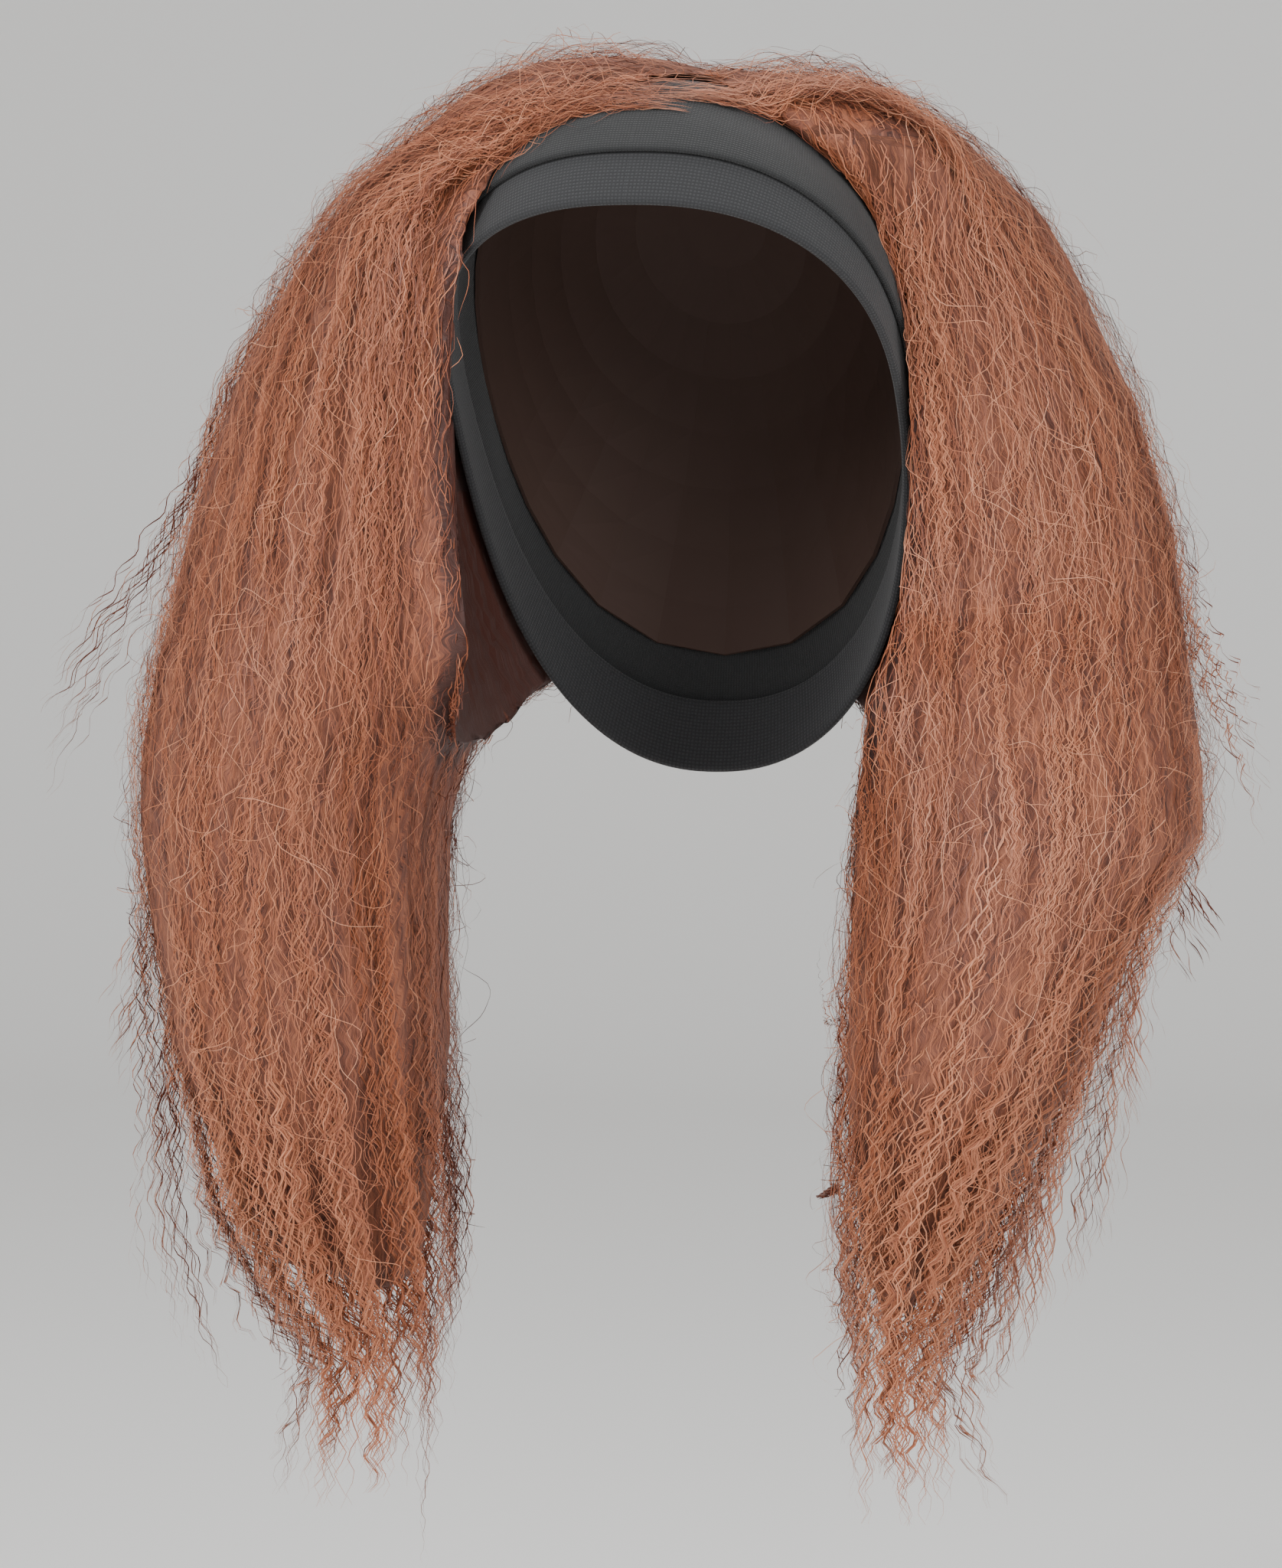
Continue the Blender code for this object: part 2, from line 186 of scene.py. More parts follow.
headShape = {
    "halfWidth": 0.076,
    "front": 0.095,
    "back": 0.098,
    "up": 0.105,
    "down": 0.200,
    "squareness": 2.3,
    "napeTuck": 0.030,
    "poleTilt": math.radians(50),
}
bandRearEdge = {"forehead": 62, "ears": 60, "nape": 81}
bandFrontEdge = {"forehead": 102, "ears": 90, "nape": 97}
hemWidth = {"forehead": 10.5, "ears": 8.5, "nape": 5.5}
clothThickness = {"cap": 0.0015, "band": 0.0022, "hem": 0.0030, "gap": 0.0004}


def aroundRing(values, angle):
    tilt = (values["forehead"] - values["nape"]) / 2
    waist = ((values["forehead"] + values["nape"]) / 2 - values["ears"]) / 2
    return values["ears"] + waist + tilt * np.cos(angle) + waist * np.cos(2 * angle)


def headSpread(x, y, z, margin=0):
    # 1 on the head's surface moved out by the margin, less inside it
    depth = np.where(y < 0, headShape["front"], headShape["back"]) + margin
    height = np.where(z > 0, headShape["up"], headShape["down"]) + margin
    power = headShape["squareness"]
    spread = np.abs(x / (headShape["halfWidth"] + margin)) ** power
    return spread + np.abs(y / depth) ** power + np.abs(z / height) ** power


def headSurface(around, fromPole):
    tilt = headShape["poleTilt"]
    pole = np.array((0, math.sin(tilt), math.cos(tilt)))
    ahead = np.array((0, -math.cos(tilt), math.sin(tilt)))
    side = np.array((1.0, 0, 0))
    around, fromPole = np.broadcast_arrays(np.asarray(around, float), np.asarray(fromPole, float))
    level = np.cos(around)[..., None] * ahead + np.sin(around)[..., None] * side
    way = np.cos(fromPole)[..., None] * pole + np.sin(fromPole)[..., None] * level
    spread = headSpread(way[..., 0], way[..., 1], way[..., 2])
    point = way * spread[..., None] ** (-1 / headShape["squareness"])
    low = np.maximum(0, -point[..., 2] / headShape["down"])
    point[..., 1] -= np.where(way[..., 1] > 0, headShape["napeTuck"] * low ** 2, 0)
    point[..., 2] -= headShape["up"]
    return point


def headPoint(around, fromPole, lift):
    step = 0.01
    across = headSurface(around + step, fromPole) - headSurface(around - step, fromPole)
    down = headSurface(around, fromPole + step) - headSurface(around, fromPole - step)
    point = headSurface(around, fromPole)
    normal = np.cross(down, across)
    normal /= np.linalg.norm(normal, axis=-1, keepdims=True)
    inward = np.sum(normal * (point + (0, 0, headShape["up"])), axis=-1) < 0
    normal[inward] *= -1
    return point + normal * np.asarray(lift)[..., None]


def clearOfHead(points, margin):
    # how far out each point is, as a share of the way to the head's surface, and the points pushed clear of it
    middle = np.array((0, 0, -headShape["up"]))
    offset = points - middle
    low = np.maximum(0, -offset[..., 2] / headShape["down"])
    back = offset[..., 1] + np.where(offset[..., 1] > 0, headShape["napeTuck"] * np.minimum(low, 1) ** 2, 0)
    share = headSpread(offset[..., 0], back, offset[..., 2], margin) ** (1 / headShape["squareness"])
    grow = np.maximum(1, 1 / np.maximum(share, 0.05))
    return share, middle + offset * grow[..., None]


# The outline of the hair by height, with the same shares as the part's source

hairShape = {
    "rise": {"left": 0.0155, "right": 0.0085},
    "drop": 0.455,
    "sideReach": {"left": 0.190, "right": 0.184},
    "neckClear": {"left": 0.078, "right": 0.061},
    "frontReach": {"left": 0.082, "right": 0.070},
    "backReach": 0.128,
    "partingX": 0.011,
    "squareness": 2.4,
    "lastDrop": 0.945,
}
hairSections = {
    "drop": (0.006, 0.025, 0.05, 0.1, 0.16, 0.24, 0.34, 0.4, 0.44, 0.475, 0.51, 0.56, 0.64, 0.74,
        0.84, 0.9, 0.945),
    "back": (0.33, 0.53, 0.67, 0.83, 0.92, 0.99, 0.98, 0.91, 0.81, 0.69, 0.59, 0.5, 0.44, 0.38, 0.3, 0.22,
        0.12),
    "left": {
        "outer": (0.27, 0.38, 0.46, 0.61, 0.72, 0.83, 0.91, 0.94, 0.96, 0.96, 0.97, 0.97, 0.95, 0.91, 0.84,
            0.74, 0.62),
        "inner": (0.05, -0.3, -0.42, -0.48, -0.5, -0.55, -0.5, -0.3, 0.2, 0.72, 0.94, 1, 1, 0.98,
            0.95, 0.98, 1.06),
        "front": (0.18, 0.44, 0.6, 0.76, 0.88, 0.93, 0.94, 0.96, 0.98, 1, 1, 1, 0.97, 0.9, 0.78,
            0.64, 0.48),
    },
    "right": {
        "outer": (0.34, 0.44, 0.53, 0.65, 0.74, 0.84, 0.91, 0.93, 0.95, 0.97, 0.99, 1, 0.94, 0.83, 0.69,
            0.61, 0.52),
        "inner": (0.05, -0.3, -0.45, -0.5, -0.55, -0.58, -0.52, -0.3, 0.2, 0.72, 0.94, 1, 1, 0.98,
            0.95, 0.98, 1.06),
        "front": (0.3, 0.56, 0.62, 0.34, 0.18, 0.08, 0.08, 0.16, 0.4, 0.55, 0.7, 0.86, 1, 1, 0.86,
            0.7, 0.52),
    },
}
sideWay = {"left": -1.0, "right": 1.0}
# how far outside the head the hair lies, over the cap and the band
hairLift = {"mass": 0.0062, "surface": 0.0064, "lines": 0.0066}


def onSide(points, side):
    return (points[:, 0] < hairShape["partingX"]) == (side == "left")


def readVectors(mesh, name):
    values = np.zeros(len(mesh.vertices) * 3)
    mesh.vertices.foreach_get(name, values)
    return values.reshape(-1, 3)


def sectionAt(side, drop):
    table = hairSections[side] | {"back": hairSections["back"]}
    share = {name: np.interp(drop, hairSections["drop"], values) for name, values in table.items()}
    outer = share["outer"] * hairShape["sideReach"][side]
    inner = share["inner"] * hairShape["neckClear"][side]
    front = -share["front"] * hairShape["frontReach"][side]
    return outer, inner, front, share["back"] * hairShape["backReach"]


def sectionSpread(x, y, section):
    # 1 on the outline of the hair at a height, and less inside it
    outer, inner, front, back = section
    power = hairShape["squareness"]
    across = np.abs((x - (outer + inner) / 2) / ((outer - inner) / 2)) ** power
    return across + np.abs((y - (front + back) / 2) / ((back - front) / 2)) ** power


def heightAt(side, drop):
    rise = hairShape["rise"][side]
    return rise - drop * (rise + hairShape["drop"])


def outlinePoint(side, drop, facing):
    # facing 0 is outward, 90 degrees forward and 180 inward; x is counted outward
    # lines that face forward keep beside the face, and the rest go all round the outline
    outer, inner, front, back = sectionAt(side, drop)
    across, forward = math.cos(facing), math.sin(facing)
    power = hairShape["squareness"]
    ahead = min(max(3 * forward, 0), 1)
    beside = np.maximum(inner, flow["besideFace"] * hairShape["neckClear"][side])
    nearest = inner + (beside - inner) * ahead
    x = (outer + nearest) / 2 + (outer - nearest) / 2 * np.sign(across) * abs(across) ** (2 / power)
    off = np.minimum(np.abs(x - (outer + inner) / 2) / ((outer - inner) / 2), 1)
    y = (front + back) / 2 - (back - front) / 2 * np.sign(forward) * (1 - off ** power) ** (1 / power)
    return x, y


def topHeight(side, x, y):
    # height of the hair's top over a point, by looking down through the sections for the first that holds it
    drops = np.linspace(0.0, 0.32, 161)
    inside = sectionSpread(x, y, [v[:, None] for v in sectionAt(side, drops)])
    first = np.argmax(inside <= 1, axis=0)
    first = np.where((inside > 1).all(axis=0), len(drops) - 1, first)
    before = np.maximum(first - 1, 0)
    picks = np.arange(len(x))
    high, low = inside[before, picks], inside[first, picks]
    mix = np.clip((high - 1) / np.maximum(high - low, 1e-9), 0, 1)
    return heightAt(side, drops[before] + (drops[first] - drops[before]) * mix)


def headTop(x, y):
    # height of the head with its band under a point, or far below where the point is beside it
    lift = hairLift["lines"]
    spread = headSpread(x, y, 0, lift)
    rise = (headShape["up"] + lift) * np.maximum(1 - spread, 0) ** (1 / headShape["squareness"])
    return np.where(spread < 1, rise - headShape["up"], -1)


flow = {
    "topDrop": 0.13,  # where the combed top gives way to the hanging outline
    "topSteps": 60,
    "lowestDrop": 1.06,
    "step": 0.005,
    "rows": 136,
    "facings": 145,
    "partingFront": {"left": -0.060, "right": -0.055},
    "partingBack": 0.100,
    "besideFace": 0.9,  # how far out the front lines keep, as a share of the neck's clearance
    "overParting": 0.007,  # how far past the parting the hair's lines begin, so that the two sides mix
}
# how far the dense hair lies behind the outline's outer side, by drop; loose hair fills the rest
denseInset = {
    "left": ((0, 0), (0.2, -0.001), (0.42, -0.001), (0.56, 0.002), (0.7, 0.004), (1, 0.002)),
    "right": ((0, 0), (0.12, 0.002), (0.25, 0.004), (0.42, 0.002), (0.56, 0.002), (0.66, 0.018), (1, 0.004)),
}


def flowGrid(side):
    # lines of combed hair from the parting to the tips: points, outward normals and how far in the dense hair is
    way = sideWay[side]
    facings = np.linspace(-math.pi, math.pi, flow["facings"])
    startX = way * hairShape["partingX"] - flow["overParting"]
    firstY = flow["partingFront"][side]
    grid = np.zeros((flow["facings"], flow["rows"], 3))
    dropGrid, clear = np.zeros(grid.shape[:2]), np.zeros(grid.shape[:2])
    ends = np.zeros(flow["facings"])
    wanted = np.arange(flow["rows"]) * flow["step"]
    for k, facing in enumerate(facings):
        x1, y1 = outlinePoint(side, flow["topDrop"], facing)
        share = np.linspace(0, 1, flow["topSteps"])
        startY = firstY + (flow["partingBack"] - firstY) * (1 - math.sin(facing)) / 2
        topX = startX + (x1 - startX) * share
        topY = startY + (y1 - startY) * share ** 1.4
        topZ = np.maximum(topHeight(side, topX, topY), headTop(topX, topY))
        drops = np.linspace(flow["topDrop"], flow["lowestDrop"], 160)[1:]
        lowX, lowY = outlinePoint(side, drops, facing)
        x = np.concatenate((topX, lowX)) * way
        z = np.concatenate((topZ, heightAt(side, drops)))
        dips, line = clearOfHead(np.stack((x, np.concatenate((topY, lowY)), z), axis=1), hairLift["lines"])
        along = np.concatenate(([0], np.cumsum(np.linalg.norm(np.diff(line, axis=0), axis=1))))
        ends[k] = np.interp(hairShape["lastDrop"], drops, along[flow["topSteps"]:])
        for axis in range(3):
            grid[k, :, axis] = np.interp(wanted, along, line[:, axis])
        over = wanted > along[-1]
        grid[k, over, 2] -= wanted[over] - along[-1]
        dropGrid[k] = np.interp(wanted, along, np.concatenate((share * flow["topDrop"], drops)))
        clear[k] = np.interp(wanted, along, dips)
    down = np.gradient(grid, axis=1)
    across = np.gradient(np.concatenate((grid[-2:-1], grid, grid[1:2])), axis=0)[1:-1]
    normal = unit(np.cross(down, across))
    outer, inner, front, back = sectionAt(side, dropGrid)
    middle = np.stack((way * (outer + inner) / 2, (front + back) / 2, grid[..., 2]), axis=-1)
    onTop = dropGrid < flow["topDrop"] * 0.8
    away = np.where(onTop, normal[..., 2], np.sum(normal * (grid - middle), axis=-1))
    normal[away < 0] *= -1
    for _ in range(3):
        normal[1:-1, 1:-1] += normal[:-2, 1:-1] + normal[2:, 1:-1] + normal[1:-1, :-2] + normal[1:-1, 2:]
        normal = unit(normal)
    table = np.array(denseInset[side])
    outward = np.clip(np.cos(facings), 0, 1)[:, None] ** 1.3
    inset = np.interp(dropGrid, table[:, 0], table[:, 1]) * outward
    inHead = clear < hairLook["clear"][side]
    dips = inHead.any(axis=1)
    free = np.where(dips, flow["rows"] - np.argmax(inHead[:, ::-1], axis=1), 0) * flow["step"]
    dive = np.where(dips, np.argmax(inHead, axis=1), flow["rows"]) * flow["step"]
    return {
        "points": grid, "normals": normal, "ends": ends, "facings": facings, "free": free, "dive": dive,
        "inset": inset[..., None], "clear": clear[..., None],
    }


def readGrid(values, facing, length):
    rows = values.shape[1]
    f = (facing + math.pi) / (2 * math.pi) % 1.0 * (values.shape[0] - 1)
    a = np.clip(length / flow["step"], 0, rows - 1.001)
    f0, a0 = np.floor(f).astype(int), np.floor(a).astype(int)
    f1 = np.minimum(f0 + 1, values.shape[0] - 1)
    u, v = (f - f0)[..., None], (a - a0)[..., None]
    low = values[f0, a0] * (1 - u) + values[f1, a0] * u
    high = values[f0, a0 + 1] * (1 - u) + values[f1, a0 + 1] * u
    return low * (1 - v) + high * v


def steady(points):
    # strands that leap where the flow turns sharply are left out
    steps = np.linalg.norm(np.diff(points, axis=1), axis=2)
    return steps.max(axis=1) < np.minimum(hairLook["longestStep"], 2.4 * np.median(steps, axis=1))


def endLength(grid, facing):
    turned = (facing + math.pi) % (2 * math.pi) - math.pi
    return np.interp(turned, grid["facings"], grid["ends"])


def unit(vectors):
    return vectors / np.maximum(np.linalg.norm(vectors, axis=-1, keepdims=True), 1e-9)


def combedStrands(grid, rng, facing, start, length, samples, look):
    # points along strands that follow the flow, with crimp, wander and frizz laid over it
    share = np.linspace(0, 1, samples)[None, :]
    s = share * length[:, None]
    turned = facing[:, None] + look["drift"][:, None] * share
    reached = start[:, None] + s
    base = readGrid(grid["points"], turned, reached)
    normal = unit(readGrid(grid["normals"], turned, reached))
    inset = readGrid(grid["inset"], turned, reached)[..., 0]
    depth = look["depth"][:, None] - inset * look["inset"][:, None]
    points = crimped(rng, base, normal, depth, s, reached, look)
    return points, normal, readGrid(grid["clear"], turned, reached)[..., 0]


def crimped(rng, base, normal, depth, s, reached, look):
    # lays crimp, wander and flare over a path, sideways and in depth; s is the length along the strand
    count = len(base)
    share = s / s[:, -1:]
    across = unit(np.cross(unit(np.gradient(base, axis=1)), normal))
    if "flare" in look:
        depth = depth + look["flare"][:, None] * share ** look.get("flarePower", 2.2)
    sideways = np.zeros_like(s)
    if "spread" in look:
        close = look["closing"](share)
        depth = depth + look["spread"][:, :1] * close
        sideways = sideways + look["spread"][:, 1:] * close
    wave = 2 * math.pi * s / look["crimpLength"][:, None] + look["phase"][:, None]
    grow = np.clip(share * 8, 0, 1) * np.clip(reached / 0.03, 0.25, 1)
    crimp = look["crimp"][:, None] * grow
    sideways = sideways + crimp * np.sin(wave)
    depth = depth + crimp * look.get("roundness", 0.5) * np.cos(wave)
    for reach, span in look["wander"]:
        for kind in range(2):
            turn = 2 * math.pi * s / (span * rng.uniform(0.6, 1.6, (count, 1))) + rng.uniform(0, 6.28, (count, 1))
            size = reach * rng.uniform(0.4, 1.4, (count, 1)) * grow
            if kind:
                sideways = sideways + size * np.sin(turn)
            else:
                depth = depth + size * np.sin(turn)
    return base + normal * depth[..., None] + across * sideways[..., None]


def keepOutside(points, normal, clear, shade, width, reject):
    # strands that would run through the head or its band are left out, and the rest are held off it
    points = clearOfHead(points, hairLift["mass"])[1]
    kept = (clear.min(axis=1) > reject) & steady(points)
    return points[kept], normal[kept], shade[kept], width[kept]


def ribbonArrays(points, normal, shade, width, rng):
    # one narrow ribbon per strand, with two triangles to a step
    count, samples = points.shape[:2]
    share = np.linspace(0, 1, samples)[None, :]
    lean = rng.uniform(-0.5, 0.5, (count, 1)) + 0.4 * np.sin(share * 7 + rng.uniform(0, 6, (count, 1)))
    tangent = unit(np.gradient(points, axis=1))
    face = unit(np.cross(tangent, normal))
    over = unit(np.cross(face, tangent))
    wide = face * np.cos(lean)[..., None] + over * np.sin(lean)[..., None]
    taper = np.clip(share * 12 + 0.25, 0, 1) * np.clip((1 - share) * 6 + 0.12, 0, 1)
    half = wide * (width[:, None] / 2 * taper)[..., None]
    corners = np.stack((points + half, points - half), axis=2)
    a = (np.arange(count)[:, None] * samples + np.arange(samples - 1)[None, :]) * 2
    triangles = np.stack((a, a + 2, a + 1, a + 1, a + 2, a + 3), axis=-1).reshape(-1, 3)
    rows = (np.arange(count)[:, None, None] + 0.5 + np.array((0.3, -0.3))) / count
    along = np.broadcast_to(share[..., None], (count, samples, 2))
    uv = np.stack((along, np.broadcast_to(rows, (count, samples, 2))), axis=-1).reshape(-1, 2)
    soft = unit(normal + 0.45 * over * np.sin(lean)[..., None] + 0.30 * face * np.sin(lean * 2)[..., None])
    soft = np.repeat(soft[:, :, None], 2, axis=2).reshape(-1, 3)
    mottle = shade[:, None] + 0.06 * np.sin(share * 9 + rng.uniform(0, 6, (count, 1)))
    return corners.reshape(-1, 3), triangles, np.repeat(mottle.reshape(-1), 2), uv, soft


def strandObject(name, bundles, material, rng):
    parts, used = [], 0
    for k, bundle in enumerate(bundles):
        if not len(bundle[0]):
            continue
        corners, triangles, shades, uvs, normals = ribbonArrays(*bundle, rng)
        parts.append((corners, triangles + used, shades, (uvs + (0, k)) * (1, 1 / len(bundles)), normals))
        used += len(corners)
    corners, triangles, shades, uvs, normals = [np.concatenate(arrays) for arrays in zip(*parts)]
    mesh = bpy.data.meshes.new(name)
    mesh.vertices.add(len(corners))
    mesh.vertices.foreach_set("co", corners.astype(np.float32).ravel())
    mesh.loops.add(len(triangles) * 3)
    mesh.loops.foreach_set("vertex_index", triangles.astype(np.int32).ravel())
    mesh.polygons.add(len(triangles))
    mesh.polygons.foreach_set("loop_start", np.arange(0, len(triangles) * 3, 3, dtype=np.int32))
    mesh.polygons.foreach_set("use_smooth", np.ones(len(triangles), bool))
    tone = mesh.attributes.new("strandShade", "FLOAT", "POINT")
    tone.data.foreach_set("value", np.clip(shades, 0, 1).astype(np.float32))
    layout = mesh.uv_layers.new(name="OFBake")
    layout.data.foreach_set("uv", uvs[triangles.ravel()].astype(np.float32).ravel())
    mesh.update()
    mesh.validate()
    mesh.normals_split_custom_set_from_vertices(normals.astype(np.float32).tolist())
    made = addObject(name, mesh)
    made.data.materials.append(material)
    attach(made, "root")
    print(name, len(triangles), "triangles")


def pickFacing(rng, count, weights):
    # facings in degrees, drawn more often where the hair shows most
    spans = np.array([w[:2] for w in weights], float)
    odds = np.array([w[2] for w in weights], float)
    pick = rng.choice(len(weights), count, p=odds / odds.sum())
    return np.radians(rng.uniform(spans[pick, 0], spans[pick, 1]))


hairLook = {
    # spans of facings in degrees, with how often a strand starts there
    "facings": ((-180, -130, 0.5), (-130, -20, 2.0), (-20, 60, 2.6), (60, 140, 3.6), (140, 180, 1.0)),
    "clear": {"left": 0.91, "right": 0.90},  # how far inside the head, as a share, a combed line may dip
    "toneShift": {"left": -0.05, "right": 0.0},
    "strandWidth": 0.00025,
    "longestStep": 0.0055,
    "bodyStrands": 850,
    "crimpedLocks": {"left": 44, "right": 14},
    "crimpedStrands": 14,
    "frizzStrands": 3100,
    "looseStrands": 26,
    "wavyTips": 150,
    "tipStrands": 7,
    "tipFacings": ((-180, -60, 1.0), (-60, 130, 2.6), (130, 180, 0.6)),
    "haloStrands": 700,
    "haloFacings": ((-50, 50, 3.0), (50, 100, 0.8), (-120, -50, 0.8)),
}
# locks that leave the hair: the way they face in degrees, where they start and end as shares of the
# hair's height, and how far the tip stands out, of the reach to the side
looseLocks = {
    "left": (
        (8, 0.1, 0.476, 0.15), (-22, 0.52, 0.6, 0.09), (28, 0.5, 0.68, 0.08),
        (2, 0.52, 0.82, 0.09), (20, 0.54, 0.895, 0.13), (10, 0.6, 1.058, 0.08),
        (38, 0.3, 1.04, 0.04), (62, 0.04, 1.062, 0.02), (86, 0.03, 1.03, 0),
        (112, 0.1, 1.01, 0), (140, 0.54, 1, 0), (166, 0.6, 0.975, 0),
        (-168, 0.6, 0.985, 0),
    ),
    "right": (
        (10, 0.1, 0.476, 0.1), (-15, 0.5, 0.58, 0.07), (22, 0.5, 0.7, 0.1),
        (4, 0.52, 0.84, 0.12), (26, 0.56, 0.93, 0.11), (14, 0.6, 1.01, 0.07),
        (46, 0.3, 1.03, 0.03), (68, 0.04, 1.062, 0.02), (90, 0.03, 0.985, 0),
        (118, 0.3, 1.05, 0), (146, 0.54, 1.01, 0), (172, 0.6, 0.965, 0),
        (-164, 0.6, 0.99, 0),
    ),
}


def sideOfHair(side, seed):
    rng = np.random.default_rng(seed)
    grid = flowGrid(side)
    look = hairLook
    thin = look["strandWidth"]
    bundles = []

    def draw(low, high):
        return rng.uniform(low, high, count)

    def forLocks(low, high):
        # one random value for each lock, the same for all its strands
        return np.repeat(rng.uniform(low, high, locks), per)

    def add(samples, tone, width, **settings):
        # a strand whose line enters the head ends before that, or starts where the line comes out again
        turned = (facing + math.pi) % (2 * math.pi) - math.pi
        free = np.interp(turned, grid["facings"], grid["free"])
        dive = np.interp(turned, grid["facings"], grid["dive"]) - 0.004
        before = (start < dive - 0.02) & (start < free)
        moved = (start < free) & ~before
        end = endLength(grid, facing)
        room = np.maximum(end - free - length, 0.03)
        first = np.where(moved, free + rng.uniform(0, 1, len(facing)) * room, start)
        span = np.where(before, np.minimum(length, dive - first), length)
        span = np.clip(span, 0.02, np.maximum(end + 0.05 - first, 0.02))
        points, normal, clear = combedStrands(grid, rng, facing, first, span, samples, settings)
        shade = rng.normal(tone[0] + look["toneShift"][side], tone[1], len(facing))
        # painted light and shade: strands that face forward and outward are drawn lighter, and those at the back
        # and inside darker
        shade = shade + 0.09 * np.sin(facing) + 0.05 * np.cos(facing)
        bundles.append(keepOutside(points, normal, clear, shade, np.full(len(facing), width), look["clear"][side]))

    # body: single strands all over whose crimps lie side by side with their neighbours' crimps
    count = int(look["bodyStrands"] * 1.3)
    facing = pickFacing(rng, count, look["facings"])
    length = draw(0.12, 0.18)
    start = draw(-0.25, 1) * (endLength(grid, facing) * draw(0.72, 0.98) - length)
    start = np.maximum(start, draw(0, 0.014))
    add(
        46, (0.45, 0.20), thin, depth=draw(-0.004, 0.002), inset=draw(0.75, 1.05),
        crimp=draw(0.0003, 0.0009), crimpLength=draw(0.013, 0.020), phase=draw(0, 6.28),
        wander=((0.0022, 0.06), (0.0011, 0.026)), drift=rng.normal(0, 0.09, count),
    )

    # crimped locks: strands that lie together in tight ridges
    locks, per = look["crimpedLocks"][side], look["crimpedStrands"]
    facing = np.repeat(pickFacing(rng, locks, look["facings"]), per)
    length = forLocks(0.08, 0.12)
    start = forLocks(0.0, 0.8) * (endLength(grid, facing) - length)
    crimpLength = forLocks(0.0054, 0.0066)
    add(
        72, (0.50, 0.13), thin * 1.1, depth=forLocks(-0.002, 0.0015), inset=forLocks(0.7, 1),
        spread=rng.normal(0, 1, (locks * per, 2)) * (0.0012, 0.0028), closing=lambda share: 1 - 0.7 * share ** 1.5,
        crimp=forLocks(0.0005, 0.0008), roundness=0.8, crimpLength=crimpLength,
        phase=forLocks(0, 6.28) + rng.normal(0, 0.6, locks * per),
        wander=((0.0009, 0.05), (0.0005, 0.02)), drift=np.repeat(rng.normal(0, 0.08, locks), per),
    )

    # frizz: short loose hairs that stand off the surface in all directions
    count = int(look["frizzStrands"] * 1.25)
    facing = pickFacing(rng, count, look["facings"])
    length = draw(0.035, 0.075)
    start = draw(0, 1) * (endLength(grid, facing) - length) + draw(0, 0.01)
    add(
        20, (0.60, 0.21), thin * 0.85, depth=draw(-0.005, 0.001), inset=draw(0.1, 1.0) ** 0.6,
        crimp=draw(0.0002, 0.0007), crimpLength=draw(0.011, 0.017), phase=draw(0, 6.28),
        wander=((0.0056, 0.05), (0.0030, 0.026), (0.0008, 0.013)), drift=rng.normal(0, 0.40, count),
        flare=draw(-0.002, 0.003),
    )

    # loose locks: the long ones that leave the outline and end in wavy points
    per = look["looseStrands"]
    behind = tuple((-38 - 102 * (k + 0.5) / 5, 0.3, 0.95 + 0.07 * (k % 2), 0.02) for k in range(5))
    height = hairShape["rise"][side] + hairShape["drop"]
    for degrees, high, last, stand in looseLocks[side] + behind:
        facing = np.full(per, math.radians(degrees)) + rng.normal(0, 0.02, per)
        begin = max(high, last - 0.5)
        length = rng.uniform(0.75, 1.0, per) * (last - begin) * height
        start = endLength(grid, facing) + (last - hairShape["lastDrop"]) * height
        start = start - (last - begin) * height + rng.uniform(0, 0.02, per)
        bunch = rng.integers(0, 3, per)
        phase = rng.uniform(0, 6.28, 3)[bunch] + rng.normal(0, 0.25, per)
        offset = rng.normal(0, 1, (3, 2))[bunch] * (0.002, 0.005)
        add(
            62, (0.56, 0.12), thin * 1.9, depth=np.full(per, -0.004) + offset[:, 0],
            inset=np.full(per, 0.3 if stand > 0.03 else 0.6),
            spread=rng.normal(0, 1, (per, 2)) * (0.0012, 0.0024) + offset * (0, 1),
            closing=lambda share: 1 - 0.55 * share, crimp=rng.uniform(0.0016, 0.0022, 3)[bunch], roundness=0.7,
            crimpLength=rng.uniform(0.012, 0.0155, 3)[bunch], phase=phase,
            wander=((0.0006, 0.05),), drift=np.zeros(per),
            flare=np.full(per, (stand + 0.02) * hairShape["sideReach"][side] + 0.003), flarePower=2.5,
        )

    # wavy tips: thin locks that hang apart round the lower edge
    locks, per = look["wavyTips"], look["tipStrands"]
    facing = np.repeat(pickFacing(rng, locks, look["tipFacings"]), per)
    length = forLocks(0.09, 0.16)
    start = endLength(grid, facing) + forLocks(-0.04, 0.048) - length
    add(
        34, (0.55, 0.14), thin * 1.6, depth=forLocks(-0.014, 0.000), inset=np.ones(locks * per),
        spread=rng.normal(0, 1, (locks * per, 2)) * (0.0010, 0.0010), closing=lambda share: 1.6 - share,
        crimp=forLocks(0.0018, 0.0034), roundness=0.8, crimpLength=forLocks(0.011, 0.016),
        phase=forLocks(0, 6.28) + rng.normal(0, 0.15, locks * per),
        wander=((0.0003, 0.03),), drift=np.repeat(rng.normal(0, 0.10, locks), per),
        flare=forLocks(-0.006, 0.010) + np.clip(np.cos(facing), 0, 1) * 0.022,
    )

    # halo: sparse hairs between the dense hair and the outline, most of them low and outward
    count = look["haloStrands"]
    facing = pickFacing(rng, count, look["haloFacings"])
    length = draw(0.05, 0.11)
    start = draw(0.0, 1) ** 1.2 * (endLength(grid, facing) - length)
    add(
        24, (0.70, 0.12), thin * 0.6, depth=draw(-0.003, 0.001), inset=draw(0.0, 0.9),
        crimp=draw(0.0005, 0.0014), crimpLength=draw(0.009, 0.014), phase=draw(0, 6.28),
        wander=((0.0035, 0.045), (0.0012, 0.017)), drift=rng.normal(0, 0.15, count), flare=draw(0.000, 0.008),
    )
    return bundles


